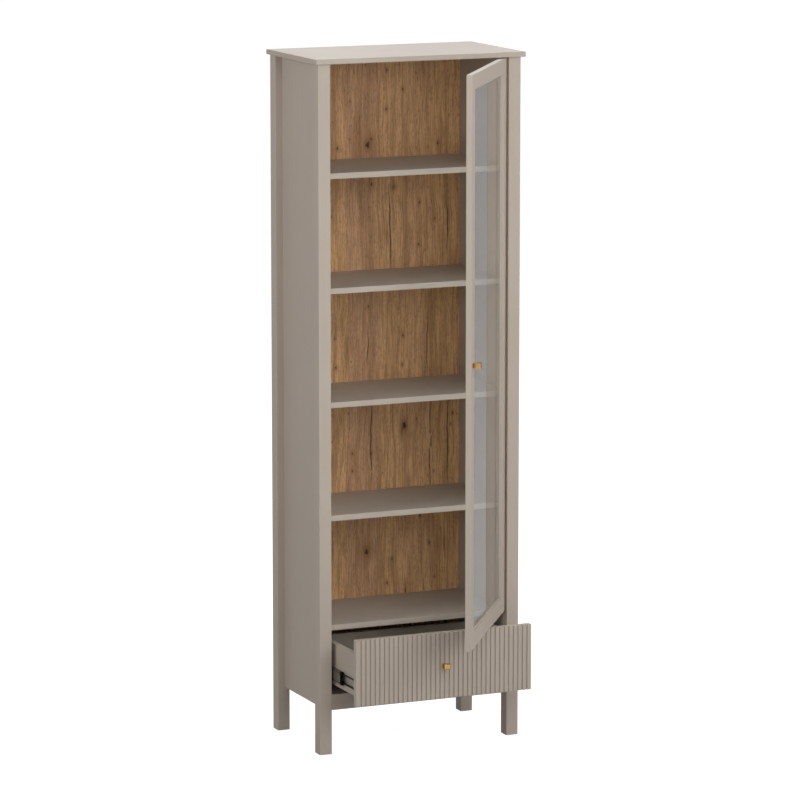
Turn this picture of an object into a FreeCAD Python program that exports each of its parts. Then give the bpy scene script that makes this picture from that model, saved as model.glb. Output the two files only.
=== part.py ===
import FreeCAD, Part
import math
import os

# A tall painted display cabinet. Four posts carry a top, two side panels and an oak back.
# One glazed door on three concealed hinges closes five compartments with loose shelves.
# One fluted drawer runs under the cabinet floor on telescopic ball-bearing slides.
# X runs to the right, Y to the back and Z up. The origin is on the floor, in the middle of the space
# that the opened cabinet takes up.
# Everything is built shut, then the door and the drawer are opened as far as the two shown values say.
# All lengths are millimetres and all angles are degrees.

# Body, measured over the posts, and how far behind the origin its front stands
body_width = 610.0
body_depth = 350.0
total_height = 1950.0
front_from_origin = 35.0

# Posts and glides
post_width = 36.0
post_depth = 38.0
post_edge_radius = 1.5
glide_height = 2.0
glide_size = 24.0
post_tenon_size = 18.0
post_tenon_height = 8.0

# Top panel
top_thickness = 14.0
top_side_overhang = 10.0
top_front_overhang = 12.0
top_rear_overhang = 3.0
top_edge_chamfer = 1.0

# Side panels, with tongues in the posts, and the same tongues on the boards fixed between them
side_thickness = 14.0
leg_clearance = 127.0
tongue_thickness = 6.0
tongue_length = 8.0
groove_clearance = 0.3

# Back panel, in grooves of the rear posts
back_thickness = 6.0
back_inset = 14.0
back_tongue = 6.5

# Front apron and rear rail, with tenons in the posts
rail_height = 44.0
rail_thickness = 16.0
apron_setback = 4.0
tenon_length = 14.0
tenon_thickness = 8.0
tenon_shoulder = 8.0

# Bottom board, under the drawer between the apron and the rear rail
bottom_board_thickness = 16.0

# Cabinet floor and shelves
floor_thickness = 16.0
floor_setback = 24.0
floor_lip = 5.0
shelf_thickness = 16.0
shelf_setback = 22.0
shelf_clearance = 0.7
shelf_count = 4
first_shelf_rise = 311.0
board_edge_radius = 1.0

# Shelf brackets, bent from sheet
bracket_leg = 12.0
bracket_width = 16.0
bracket_sheet = 1.5
bracket_inset = 50.0

# Gap round the door and the drawer front
front_gap = 2.5

# Door frame and glass
door_thickness = 16.0
door_edge_radius = 1.0
stile_width = 44.0
top_rail_width = 42.0
bottom_rail_width = 44.0
reveal_depth = 6.2
reveal_lip = 1.5
glass_setback = 9.5
glass_thickness = 4.0
glass_overlap = 7.0
glass_clearance = 1.0
door_shown_angle = 55.0

# Concealed hinges
hinge_pin_inset = 11.0
hinge_pin_depth = 8.0
hinge_pin_diameter = 3.0
hinge_running_clearance = 0.1
knuckle_diameter = 6.0
cup_diameter = 26.0
cup_depth = 12.0
cup_wall = 0.8
cup_offset = 7.0
cup_flange_thickness = 1.2
cup_flange_width = 28.0
cup_flange_height = 48.0
cup_flange_corner = 6.0
arm_thickness = 2.4
arm_swing_clearance = 1.5
arm_crank_angle = 168.0
gooseneck_width = 6.0
arm_block_width = 12.0
arm_block_thickness = 7.0
plate_thickness = 3.0
plate_length = 24.0
plate_height = 46.0
plate_gap = 2.0
plate_corner = 4.0

# Knobs
knob_base_size = 12.0
knob_wide_size = 17.0
knob_face_size = 13.5
knob_wide_reach = 20.0
knob_reach = 22.5

# Drawer front
drawer_front_height = 187.5
drawer_front_thickness = 18.0
rib_count = 38
flute_width = 3.6
flute_depth = 3.6
rib_arris = 0.6
drawer_shown_travel = 168.0

# Drawer box
box_rise = 23.5
box_height = 118.0
box_depth = 296.0
box_board = 14.0
box_housing = 6.0
box_back_inset = 12.0
bottom_thickness = 3.0
bottom_rise = 10.0

# Telescopic slides
slide_space = 12.7
slide_length = 300.0
slide_front_gap = 2.0
slide_rise = 57.0
slide_sheet = 1.2
slide_height = 45.5
outer_flange = 9.2
middle_web_place = 2.6
middle_flange = 8.0
inner_flange = 7.3
flange_gap = 3.6
ball_diameter = 4.4
ball_flats_share = 0.863
ball_chamfer_share = 0.293
race_clearance = 0.05
outer_ball_place = 6.4
inner_ball_place = 8.0
cage_thickness = 0.6
cage_rim = 0.6
cage_length = 100.0
cage_shut_place = 98.0
balls_per_row = 4
outer_cage_place = 1.6
inner_cage_place = 4.2
clip_length = 14.0
clip_wall = 2.0
lever_place = 150.0
lever_length = 60.0
lever_height = 12.0
lever_thickness = 2.0

# Cuts run this far past the faces that they open
overrun = 1.0

# Places worked out from the sizes above
front_y = front_from_origin
rear_y = front_y + body_depth
outer_half = body_width / 2
inner_half = outer_half - post_width
top_underside = total_height - top_thickness
side_front_y = front_y + post_depth
side_rear_y = rear_y - post_depth
back_rear_y = rear_y - back_inset
back_front_y = back_rear_y - back_thickness
rail_top = leg_clearance + rail_height
apron_y = front_y + apron_setback + rail_thickness / 2
rear_rail_y = back_front_y - rail_thickness / 2
bottom_board_middle = rail_top - bottom_board_thickness / 2
front_half = inner_half - front_gap
drawer_front_bottom = rail_top + front_gap
drawer_front_top = drawer_front_bottom + drawer_front_height
floor_top = drawer_front_top + floor_lip
floor_middle = floor_top - floor_thickness / 2
door_bottom = drawer_front_top + front_gap
door_top = top_underside - front_gap
door_back_y = front_y + door_thickness
shelf_pitch = (top_underside + shelf_thickness - floor_top - first_shelf_rise) / shelf_count
shelf_tops = [floor_top + first_shelf_rise + shelf_pitch * place for place in range(shelf_count)]
bay_floors = [floor_top] + shelf_tops
bay_ceilings = [top - shelf_thickness for top in shelf_tops] + [top_underside]
bay_middles = [(low + high) / 2 for low, high in zip(bay_floors, bay_ceilings)]
hinge_heights = [bay_middles[0], bay_middles[len(bay_middles) // 2], bay_middles[-1]]
hinge_pin_x = front_half - hinge_pin_inset
hinge_pin_y = front_y + hinge_pin_depth
cup_centre_x = hinge_pin_x - cup_offset
cup_hollow_diameter = cup_diameter - cup_wall * 2
arm_inner_radius = math.hypot(hinge_pin_inset, door_thickness - hinge_pin_depth) + arm_swing_clearance
arm_outer_radius = arm_inner_radius + arm_thickness
plate_front_y = side_front_y + plate_gap
plate_face_x = inner_half - plate_thickness
lip_half = front_half - stile_width - reveal_lip
rebate_half = lip_half + glass_overlap + glass_clearance
lip_low = door_bottom + bottom_rail_width + reveal_lip
lip_high = door_top - top_rail_width - reveal_lip
rebate_low = lip_low - glass_overlap - glass_clearance
rebate_high = lip_high + glass_overlap + glass_clearance
step_y = front_y + reveal_depth
glass_front_y = front_y + glass_setback
glass_back_y = glass_front_y + glass_thickness
door_knob_x = stile_width / 2 - front_half
door_knob_z = (door_bottom + door_top) / 2
drawer_knob_z = (drawer_front_bottom + drawer_front_top) / 2
box_bottom = drawer_front_bottom + box_rise
box_front_y = front_y + drawer_front_thickness
box_outer_half = inner_half - slide_space
box_inner_half = box_outer_half - box_board
box_back_y = box_front_y + box_depth - box_back_inset - box_board
bottom_top = box_bottom + bottom_rise + bottom_thickness
slide_front_y = box_front_y + slide_front_gap
slide_middle_z = drawer_front_bottom + slide_rise
outer_half_height = slide_height / 2
middle_half_height = outer_half_height - slide_sheet - flange_gap
inner_half_height = middle_half_height - slide_sheet - flange_gap
outer_ball_height = outer_half_height - slide_sheet - flange_gap / 2
inner_ball_height = middle_half_height - slide_sheet - flange_gap / 2
ball_flats = ball_diameter * ball_flats_share
slide_y = (slide_front_y, slide_front_y + slide_length)
cage_y = (slide_front_y + cage_shut_place, slide_front_y + cage_shut_place + cage_length)

SIDES = {"left": -1, "right": 1}
X_AXIS = FreeCAD.Vector(1, 0, 0)
Y_AXIS = FreeCAD.Vector(0, 1, 0)
Z_AXIS = FreeCAD.Vector(0, 0, 1)


def point(x, y, z):
    """A place in the part's frame."""
    return FreeCAD.Vector(x, y, z)


def block(x_ends, y_ends, z_ends):
    """A board between two ends on each axis."""
    spans = [(min(ends), max(ends)) for ends in (x_ends, y_ends, z_ends)]
    sizes = [high - low for low, high in spans]
    return Part.makeBox(*sizes, point(*[low for low, high in spans]))


def about(middle, size):
    """The two ends of a span of a given size about its middle."""
    return (middle - size / 2, middle + size / 2)


def prism(corners, sweep):
    """A solid swept straight from a closed outline."""
    return Part.Face(Part.makePolygon(corners + corners[:1])).extrude(sweep)


def rod(diameter, start, axis, length):
    """A round bar from a start point."""
    return Part.makeCylinder(diameter / 2, length, start, axis)


def edges_along(shape, axis, places):
    """The straight edges of a shape along an axis that pass through one of the places."""
    found = []
    for edge in shape.Edges:
        start, end = edge.firstVertex().Point, edge.lastVertex().Point
        runs_along = (end - start).cross(axis).Length < end.distanceToPoint(start) / 2
        through = any((start - place).cross(axis).Length < board_edge_radius / 2 for place in places)
        if runs_along and through:
            found.append(edge)
    return found


def soften_front(board, front, bottom, top):
    """Rounds the two front edges of a board that lies level."""
    places = [point(0, front, bottom), point(0, front, top)]
    return board.makeFillet(board_edge_radius, edges_along(board, X_AXIS, places))


def post_centres():
    """The four posts' middles, by name."""
    x_middle = outer_half - post_width / 2
    rows = {"front": front_y + post_depth / 2, "rear": rear_y - post_depth / 2}
    return {
        f"{row}_{side}": (sign * x_middle, y_middle)
        for row, y_middle in rows.items()
        for side, sign in SIDES.items()
    }


def post_tenon(x_middle, y_middle, height):
    """The square end of a post that stands in the top."""
    z_ends = (top_underside, top_underside + height)
    return block(about(x_middle, post_tenon_size), about(y_middle, post_tenon_size), z_ends)


def top_panel():
    """The overhanging top, with all its edges eased and a mortise over each post."""
    panel = block(
        about(0, body_width + top_side_overhang * 2),
        (front_y - top_front_overhang, rear_y + top_rear_overhang),
        (top_underside, total_height),
    )
    eased = panel.makeChamfer(top_edge_chamfer, panel.Edges)
    mortise_depth = post_tenon_height + groove_clearance
    return eased.cut([post_tenon(x, y, mortise_depth) for x, y in post_centres().values()])


def post(x_middle, y_middle):
    """A square post that runs from its glide into the top, before its grooves are cut."""
    body = block(about(x_middle, post_width), about(y_middle, post_depth), (glide_height, top_underside))
    upright = [edge for edge in body.Edges if edge.BoundBox.ZLength > post_depth]
    rounded = body.makeFillet(post_edge_radius, upright)
    return rounded.fuse(post_tenon(x_middle, y_middle, post_tenon_height))


def foot_glides():
    """A square glide under each post."""
    return [
        block(about(x, glide_size), about(y, glide_size), (0, glide_height))
        for x, y in post_centres().values()
    ]


def side_tongue(sign, length):
    """The strip that makes both tongues of a side panel, above the low rails' tenons."""
    x_middle = sign * (inner_half + side_thickness / 2)
    y_ends = (side_front_y - length, side_rear_y + length)
    return block(about(x_middle, tongue_thickness), y_ends, (rail_top, top_underside))


def board_tongues(middle, length):
    """The strip that makes both tongues of a board fixed between the side panels."""
    x_ends = about(0, (inner_half + length) * 2)
    return block(x_ends, (side_front_y, side_rear_y), about(middle, tongue_thickness))


def side_panel(sign):
    """A side panel, flush with the posts' inner faces and grooved for the fixed boards."""
    x_ends = about(sign * (inner_half + side_thickness / 2), side_thickness)
    board = block(x_ends, (side_front_y, side_rear_y), (leg_clearance, top_underside))
    panel = board.fuse(side_tongue(sign, tongue_length)).removeSplitter()
    groove_depth = tongue_length + groove_clearance
    middles = (bottom_board_middle, floor_middle)
    return panel.cut([board_tongues(middle, groove_depth) for middle in middles])


def back_panel(tongue):
    """The back, which stands in the rear posts' grooves by its tongue."""
    x_ends = about(0, (inner_half + tongue) * 2)
    return block(x_ends, (back_front_y, back_rear_y), (leg_clearance, top_underside))


def rail_tenons(y_middle, length):
    """The strip that makes both tenons of a low rail."""
    z_ends = (leg_clearance + tenon_shoulder, rail_top - tenon_shoulder)
    return block(about(0, (inner_half + length) * 2), about(y_middle, tenon_thickness), z_ends)


def low_rail(y_middle):
    """A rail between two posts, with a tenon at each end."""
    board = block(about(0, inner_half * 2), about(y_middle, rail_thickness), (leg_clearance, rail_top))
    return board.fuse(rail_tenons(y_middle, tenon_length)).removeSplitter()


def post_cuts():
    """Grooves and mortises of all four posts, a little deeper than what stands in them."""
    deeper = groove_clearance
    tongues = [side_tongue(sign, tongue_length + deeper) for sign in SIDES.values()]
    tenons = [rail_tenons(y_middle, tenon_length + deeper) for y_middle in (apron_y, rear_rail_y)]
    return tongues + tenons + [back_panel(back_tongue + deeper)]


def bottom_board():
    """The board that closes the cabinet under the drawer, with a tongue at each end."""
    y_ends = (apron_y + rail_thickness / 2, rear_rail_y - rail_thickness / 2)
    board = block(about(0, inner_half * 2), y_ends, about(bottom_board_middle, bottom_board_thickness))
    return board.fuse(board_tongues(bottom_board_middle, tongue_length)).removeSplitter()


def cabinet_floor():
    """The fixed board between the shelves and the drawer, with a tongue at each end."""
    bottom = floor_top - floor_thickness
    front = front_y + floor_setback
    board = block(about(0, inner_half * 2), (front, back_front_y), (bottom, floor_top))
    softened = soften_front(board, front, bottom, floor_top)
    return softened.fuse(board_tongues(floor_middle, tongue_length)).removeSplitter()


def shelf(top):
    """A loose shelf."""
    bottom = top - shelf_thickness
    front = front_y + shelf_setback
    x_ends = about(0, (inner_half - shelf_clearance) * 2)
    board = block(x_ends, (front, back_front_y - shelf_clearance), (bottom, top))
    return soften_front(board, front, bottom, top)


def shelf_bracket(sign, y_middle, shelf_bottom):
    """An angle on the side panel, whose level leg carries a shelf's edge."""
    outline = [
        (inner_half, 0),
        (inner_half - bracket_leg, 0),
        (inner_half - bracket_leg, -bracket_sheet),
        (inner_half - bracket_sheet, -bracket_sheet),
        (inner_half - bracket_sheet, -bracket_leg),
        (inner_half, -bracket_leg),
    ]
    near = y_middle - bracket_width / 2
    corners = [point(sign * x, near, shelf_bottom + drop) for x, drop in outline]
    return prism(corners, Y_AXIS * bracket_width)


def shelf_brackets():
    """Four brackets under each shelf."""
    rows = (front_y + shelf_setback + bracket_inset, back_front_y - bracket_inset)
    bottoms = [top - shelf_thickness for top in shelf_tops]
    return [shelf_bracket(sign, y, bottom) for bottom in bottoms for sign in SIDES.values() for y in rows]


def door_stile(sign):
    """An upright of the door frame: stepped toward the glass in front, rebated for it behind."""
    edge = sign * front_half
    outline = [
        (edge, front_y),
        (sign * (front_half - stile_width), front_y),
        (sign * (front_half - stile_width), step_y),
        (sign * lip_half, step_y),
        (sign * lip_half, glass_front_y),
        (sign * rebate_half, glass_front_y),
        (sign * rebate_half, door_back_y),
        (edge, door_back_y),
    ]
    body = prism([point(x, y, door_bottom) for x, y in outline], Z_AXIS * (door_top - door_bottom))
    places = [point(edge, front_y, 0), point(edge, door_back_y, 0)]
    return body.makeFillet(door_edge_radius, edges_along(body, Z_AXIS, places))


def door_rail(edge_z, main_z, lip_z, rebate_z, stiles):
    """A level piece of the door frame, whose ends are coped over the stiles."""
    outline = [
        (front_y, edge_z),
        (front_y, main_z),
        (step_y, main_z),
        (step_y, lip_z),
        (glass_front_y, lip_z),
        (glass_front_y, rebate_z),
        (door_back_y, rebate_z),
        (door_back_y, edge_z),
    ]
    body = prism([point(-rebate_half, y, z) for y, z in outline], X_AXIS * rebate_half * 2)
    return body.cut(stiles)


def glass_pane():
    """The pane, behind the frame's lip."""
    x_ends = about(0, (lip_half + glass_overlap) * 2)
    return block(x_ends, (glass_front_y, glass_back_y), (lip_low - glass_overlap, lip_high + glass_overlap))


def glazing_beads():
    """Four strips that hold the pane in its rebate."""
    y_ends = (glass_back_y, door_back_y)
    uprights = [
        block((sign * lip_half, sign * rebate_half), y_ends, (rebate_low, rebate_high))
        for sign in SIDES.values()
    ]
    levels = [
        block(about(0, lip_half * 2), y_ends, z_ends)
        for z_ends in ((rebate_low, lip_low), (lip_high, rebate_high))
    ]
    return uprights + levels


def hinge_pin(height):
    """The pin across a hinge cup, which the door turns on."""
    pin_outside = cup_offset + hinge_pin_diameter / 2
    length = math.sqrt(cup_hollow_diameter ** 2 - (pin_outside * 2) ** 2)
    start = point(hinge_pin_x, hinge_pin_y, height - length / 2)
    return rod(hinge_pin_diameter, start, Z_AXIS, length)


def cup_bore(height):
    """The round pocket for a hinge cup in the back of the hinge stile."""
    start = point(cup_centre_x, door_back_y - cup_depth, height)
    return rod(cup_diameter, start, Y_AXIS, cup_depth)


def hinge_cup(height):
    """A pressed cup with a flange on the back of the door."""
    x_ends = about(cup_centre_x, cup_flange_width)
    z_ends = about(height, cup_flange_height)
    flange = block(x_ends, (door_back_y, door_back_y + cup_flange_thickness), z_ends)
    corners = [point(x, 0, z) for x in x_ends for z in z_ends]
    flange = flange.makeChamfer(cup_flange_corner, edges_along(flange, Y_AXIS, corners))
    floor = point(cup_centre_x, door_back_y - cup_depth + cup_wall, height)
    hollow = rod(cup_hollow_diameter, floor, Y_AXIS, cup_depth + cup_flange_thickness)
    return cup_bore(height).fuse(flange).cut(hollow)


def gooseneck(height):
    """The cranked end of a hinge arm, which hooks round the door's edge to the pin."""
    foot = point(hinge_pin_x, hinge_pin_y, height - gooseneck_width / 2)
    knuckle = rod(knuckle_diameter, foot, Z_AXIS, gooseneck_width)
    middle_radius = (arm_inner_radius + arm_outer_radius) / 2
    crank = block(
        (hinge_pin_x, hinge_pin_x + middle_radius),
        about(hinge_pin_y, arm_thickness),
        about(height, gooseneck_width),
    )
    crank.rotate(foot, Z_AXIS, arm_crank_angle)
    sweep = arm_crank_angle - 90
    bend = Part.makeCylinder(arm_outer_radius, gooseneck_width, foot, Z_AXIS, sweep)
    bend.rotate(foot, Z_AXIS, 90)
    bend = bend.cut(rod(arm_inner_radius * 2, foot, Z_AXIS, gooseneck_width))
    return knuckle.fuse([crank, bend])


def hinge_arm(height):
    """A hinge arm: a block on the plate, a neck and the gooseneck."""
    neck_y = (hinge_pin_y + arm_inner_radius, hinge_pin_y + arm_outer_radius)
    block_x = (plate_face_x - arm_block_thickness, plate_face_x)
    neck = block((hinge_pin_x, block_x[0]), neck_y, about(height, gooseneck_width))
    body = block(block_x, (neck_y[0], plate_front_y + plate_length), about(height, arm_block_width))
    start = point(hinge_pin_x, hinge_pin_y, height - gooseneck_width / 2)
    eye = rod(hinge_pin_diameter + hinge_running_clearance * 2, start, Z_AXIS, gooseneck_width)
    return gooseneck(height).fuse([neck, body]).removeSplitter().cut(eye)


def hinge_plate(height):
    """A flat plate with cut corners that carries a hinge arm."""
    y_ends = (plate_front_y, plate_front_y + plate_length)
    z_ends = about(height, plate_height)
    plate = block((plate_face_x, inner_half), y_ends, z_ends)
    corners = [point(0, y, z) for y in y_ends for z in z_ends]
    return plate.makeChamfer(plate_corner, edges_along(plate, X_AXIS, corners))


def frustum(x, z, y_ends, sizes):
    """A square block that tapers between two sizes along Y."""
    near, far = [size / 2 for size in sizes]
    return Part.makeWedge(
        x - near, y_ends[0], z - near, z - far, x - far,
        x + near, y_ends[1], z + near, z + far, x + far,
    )


def knob(x, z):
    """A square knob on a front, wider toward its face, with a chamfered face."""
    face_y = front_y - knob_reach
    wide_y = front_y - knob_wide_reach
    head = frustum(x, z, (face_y, wide_y), (knob_face_size, knob_wide_size))
    return head.fuse(frustum(x, z, (wide_y, front_y), (knob_wide_size, knob_base_size)))


def flute(x):
    """The outline of one flute with softened rib edges, from left to right."""
    half = flute_width / 2
    return [
        (x - half - rib_arris, front_y),
        (x - half, front_y + rib_arris),
        (x - half, front_y + flute_depth),
        (x + half, front_y + flute_depth),
        (x + half, front_y + rib_arris),
        (x + half + rib_arris, front_y),
    ]


def drawer_front():
    """The fluted front, before its housings are cut."""
    pitch = front_half * 2 / rib_count
    outline = [
        (front_half, front_y),
        (front_half, box_front_y),
        (-front_half, box_front_y),
        (-front_half, front_y),
    ]
    for number in range(1, rib_count):
        outline += flute(pitch * number - front_half)
    return prism([point(x, y, drawer_front_bottom) for x, y in outline], Z_AXIS * drawer_front_height)


def drawer_side(sign):
    """A side of the drawer box, housed in the front."""
    x_ends = (sign * box_outer_half, sign * box_inner_half)
    y_ends = (box_front_y - box_housing, box_front_y + box_depth)
    return block(x_ends, y_ends, (box_bottom, box_bottom + box_height))


def drawer_back():
    """The back of the drawer box, housed in the sides."""
    x_ends = about(0, (box_inner_half + box_housing) * 2)
    return block(x_ends, (box_back_y, box_back_y + box_board), (bottom_top, box_bottom + box_height))


def drawer_bottom():
    """The thin bottom, in grooves of the front and the sides and under the back."""
    x_ends = about(0, (box_inner_half + box_housing) * 2)
    y_ends = (box_front_y - box_housing, box_back_y + box_board)
    return block(x_ends, y_ends, (bottom_top - bottom_thickness, bottom_top))


def slide_point(sign, place, y, height):
    """A point of a slide, by its distance from the cabinet wall and its height from the slide's middle."""
    return point(sign * (inner_half - place), y, slide_middle_z + height)


def channel(sign, web, tip, half_height, sheet, y_ends):
    """A straight C section whose flanges run from the web to the tip."""
    inside = web + math.copysign(sheet, tip - web)
    level = half_height - sheet
    outline = [
        (web, half_height),
        (tip, half_height),
        (tip, level),
        (inside, level),
        (inside, -level),
        (tip, -level),
        (tip, -half_height),
        (web, -half_height),
    ]
    corners = [slide_point(sign, place, y_ends[0], height) for place, height in outline]
    return prism(corners, Y_AXIS * (y_ends[1] - y_ends[0]))


def races(sign, place, height, y_ends):
    """The upper and the lower ball groove between two members."""
    start_y = y_ends[0] - overrun
    length = y_ends[1] + overrun - start_y
    diameter = ball_diameter + race_clearance * 2
    starts = [slide_point(sign, place, start_y, level) for level in (-height, height)]
    return [rod(diameter, start, Y_AXIS, length) for start in starts]


def slide_outer(sign):
    """The member on the cabinet wall."""
    body = channel(sign, 0, outer_flange, outer_half_height, slide_sheet, slide_y)
    return body.cut(races(sign, outer_ball_place, outer_ball_height, slide_y))


def slide_middle(sign):
    """The member between the other two, with grooves on both faces of its flanges."""
    y_ends = (slide_y[0] + clip_length, slide_y[1])
    tip = middle_web_place + middle_flange
    body = channel(sign, middle_web_place, tip, middle_half_height, slide_sheet, y_ends)
    outer = races(sign, outer_ball_place, outer_ball_height, y_ends)
    return body.cut(outer + races(sign, inner_ball_place, inner_ball_height, y_ends))


def slide_clip(sign):
    """The plastic clip on the front end of a middle member."""
    tip = middle_web_place + middle_flange
    y_ends = (slide_y[0], slide_y[0] + clip_length)
    return channel(sign, middle_web_place, tip, middle_half_height, clip_wall, y_ends)


def slide_inner(sign):
    """The member on the drawer's side."""
    body = channel(sign, slide_space, slide_space - inner_flange, inner_half_height, slide_sheet, slide_y)
    return body.cut(races(sign, inner_ball_place, inner_ball_height, slide_y))


def release_lever(sign):
    """The plastic lever in an inner member that lets the drawer out."""
    face = slide_space - slide_sheet
    x_ends = (sign * (inner_half - face), sign * (inner_half - face + lever_thickness))
    y_start = slide_y[0] + lever_place
    return block(x_ends, (y_start, y_start + lever_length), about(slide_middle_z, lever_height))


def ball_places():
    """Where the balls of a row stand along a shut slide."""
    step = cage_length / balls_per_row
    return [cage_y[0] + step * (number + 1 / 2) for number in range(balls_per_row)]


def ball_cage(sign, web, place, height):
    """A bent strip with a window for each ball."""
    tip = place + ball_diameter / 2 + cage_rim
    strip = channel(sign, web, tip, height + cage_thickness / 2, cage_thickness, cage_y)
    window = ball_flats + race_clearance * 2
    x_ends = about(slide_point(sign, place, 0, 0).x, window)
    z_ends = about(slide_middle_z, (height + overrun) * 2)
    return strip.cut([block(x_ends, about(y, window), z_ends) for y in ball_places()])


def ball(centre):
    """A small ball, simplified to 26 flats."""
    spans = [about(middle, ball_flats) for middle in centre]
    cube = block(*spans)
    return cube.makeChamfer(ball_flats * ball_chamfer_share, cube.Edges)


def balls(sign, place, height):
    """The upper and the lower row of balls in a cage."""
    centres = [slide_point(sign, place, y, level) for y in ball_places() for level in (-height, height)]
    return [ball(centre) for centre in centres]


def carcass():
    """All pieces that stand still."""
    pieces = {"top_panel": top_panel()}
    for name, (x, y) in post_centres().items():
        pieces[f"{name}_post"] = post(x, y).cut(post_cuts())
    for side, sign in SIDES.items():
        pieces[f"{side}_side_panel"] = side_panel(sign)
        pieces[f"{side}_slide_outer"] = slide_outer(sign)
    pieces["back_panel"] = back_panel(back_tongue)
    pieces["front_apron"] = low_rail(apron_y)
    pieces["rear_rail"] = low_rail(rear_rail_y)
    pieces["bottom_board"] = bottom_board()
    pieces["cabinet_floor"] = cabinet_floor()
    for number, top in enumerate(shelf_tops, start=1):
        pieces[f"shelf_{number}"] = shelf(top)
    for number, height in enumerate(hinge_heights, start=1):
        pieces[f"hinge_plate_{number}"] = hinge_plate(height)
        pieces[f"hinge_arm_{number}"] = hinge_arm(height)
    pieces["shelf_brackets"] = Part.makeCompound(shelf_brackets())
    pieces["foot_glides"] = Part.makeCompound(foot_glides())
    return pieces


def door():
    """All pieces that turn with the door, shut."""
    stiles = [door_stile(sign) for sign in SIDES.values()]
    top_rail_z = door_top - top_rail_width
    bottom_rail_z = door_bottom + bottom_rail_width
    pieces = {
        "door_free_stile": stiles[0],
        "door_hinge_stile": stiles[1].cut([cup_bore(height) for height in hinge_heights]),
        "door_top_rail": door_rail(door_top, top_rail_z, lip_high, rebate_high, stiles),
        "door_bottom_rail": door_rail(door_bottom, bottom_rail_z, lip_low, rebate_low, stiles),
        "glass_pane": glass_pane(),
        "glazing_beads": Part.makeCompound(glazing_beads()),
        "hinge_pins": Part.makeCompound([hinge_pin(height) for height in hinge_heights]),
        "door_knob": knob(door_knob_x, door_knob_z),
    }
    for number, height in enumerate(hinge_heights, start=1):
        pieces[f"hinge_cup_{number}"] = hinge_cup(height)
    return pieces


def drawer():
    """All pieces that travel with the drawer, shut."""
    sides = {side: drawer_side(sign) for side, sign in SIDES.items()}
    back = drawer_back()
    bottom = drawer_bottom()
    pieces = {
        "drawer_front": drawer_front().cut(list(sides.values()) + [bottom]),
        "drawer_back": back,
        "drawer_bottom": bottom,
        "drawer_knob": knob(0, drawer_knob_z),
        "release_levers": Part.makeCompound([release_lever(sign) for sign in SIDES.values()]),
    }
    for side, sign in SIDES.items():
        pieces[f"drawer_{side}_side"] = sides[side].cut([back, bottom])
        pieces[f"{side}_slide_inner"] = slide_inner(sign)
    return pieces


def slide_middles():
    """The two middle members with their clips, shut."""
    pieces = {f"{side}_slide_middle": slide_middle(sign) for side, sign in SIDES.items()}
    pieces["slide_clips"] = Part.makeCompound([slide_clip(sign) for sign in SIDES.values()])
    return pieces


def cages(row, web, place, height):
    """One row of ball cages with their balls, for both slides, shut."""
    signs = SIDES.values()
    strips = [ball_cage(sign, web, place, height) for sign in signs]
    loose = [one for sign in signs for one in balls(sign, place, height)]
    return {f"{row}_ball_cages": Part.makeCompound(strips), f"{row}_balls": Part.makeCompound(loose)}


def opened_door():
    """The door, turned on its hinge pins as far as it is shown."""
    pieces = door()
    for shape in pieces.values():
        shape.rotate(point(hinge_pin_x, hinge_pin_y, 0), Z_AXIS, door_shown_angle)
    return pieces


def pulled_out(pieces, travel):
    """Pieces moved to the front."""
    for shape in pieces.values():
        shape.translate(Y_AXIS * -travel)
    return pieces


def cabinet():
    """Every piece by name, as shown."""
    pieces = carcass()
    pieces.update(opened_door())
    pieces.update(pulled_out(drawer(), drawer_shown_travel))
    pieces.update(pulled_out(slide_middles(), drawer_shown_travel / 2))
    outer = cages("outer", outer_cage_place, outer_ball_place, outer_ball_height)
    inner = cages("inner", inner_cage_place, inner_ball_place, inner_ball_height)
    pieces.update(pulled_out(outer, drawer_shown_travel / 4))
    pieces.update(pulled_out(inner, drawer_shown_travel * 3 / 4))
    return pieces


os.makedirs("parts", exist_ok=True)
for node, solid in cabinet().items():
    solid.exportStep(os.path.join("parts", f"{node}.step"))
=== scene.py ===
import logging
import math
from dataclasses import dataclass
from enum import Enum
from typing import Any, Sequence

import bmesh
import bpy
from mathutils import Matrix, Vector


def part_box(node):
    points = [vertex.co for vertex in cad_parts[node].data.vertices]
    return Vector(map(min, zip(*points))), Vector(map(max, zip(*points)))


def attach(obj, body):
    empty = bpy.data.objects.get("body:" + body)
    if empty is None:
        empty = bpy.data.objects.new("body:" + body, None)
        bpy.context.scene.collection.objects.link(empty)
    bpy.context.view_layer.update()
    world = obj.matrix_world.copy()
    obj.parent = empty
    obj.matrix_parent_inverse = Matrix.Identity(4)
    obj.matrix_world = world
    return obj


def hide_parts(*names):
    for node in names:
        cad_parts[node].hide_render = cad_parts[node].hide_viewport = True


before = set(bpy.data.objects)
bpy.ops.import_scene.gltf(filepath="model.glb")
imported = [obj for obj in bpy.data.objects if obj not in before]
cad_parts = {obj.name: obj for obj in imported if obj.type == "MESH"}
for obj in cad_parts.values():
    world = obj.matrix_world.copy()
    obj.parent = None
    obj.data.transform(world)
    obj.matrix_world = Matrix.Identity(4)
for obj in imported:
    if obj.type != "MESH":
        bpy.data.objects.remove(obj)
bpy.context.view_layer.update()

LOG = logging.getLogger("cabinet")
MM = 0.001
WELD = 0.01 * MM
SIDES = {"left": -1.0, "right": 1.0}
HINGES = (1, 2, 3)
SRGB_KNEE = 0.04045
SRGB_SLOPE = 12.92
SRGB_LIFT = 0.055
SRGB_POWER = 2.4

Tree = bpy.types.NodeTree
Node = bpy.types.Node
Socket = bpy.types.NodeSocket
Piece = bpy.types.Object
Triple = tuple[float, float, float]
Seat = tuple[Vector, Vector]


class Body(Enum):
    """The bodies that pieces ride on."""

    CARCASS = "carcass"
    DOOR = "door"
    DRAWER = "drawer"
    MIDDLES = "slide_middles"


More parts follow.
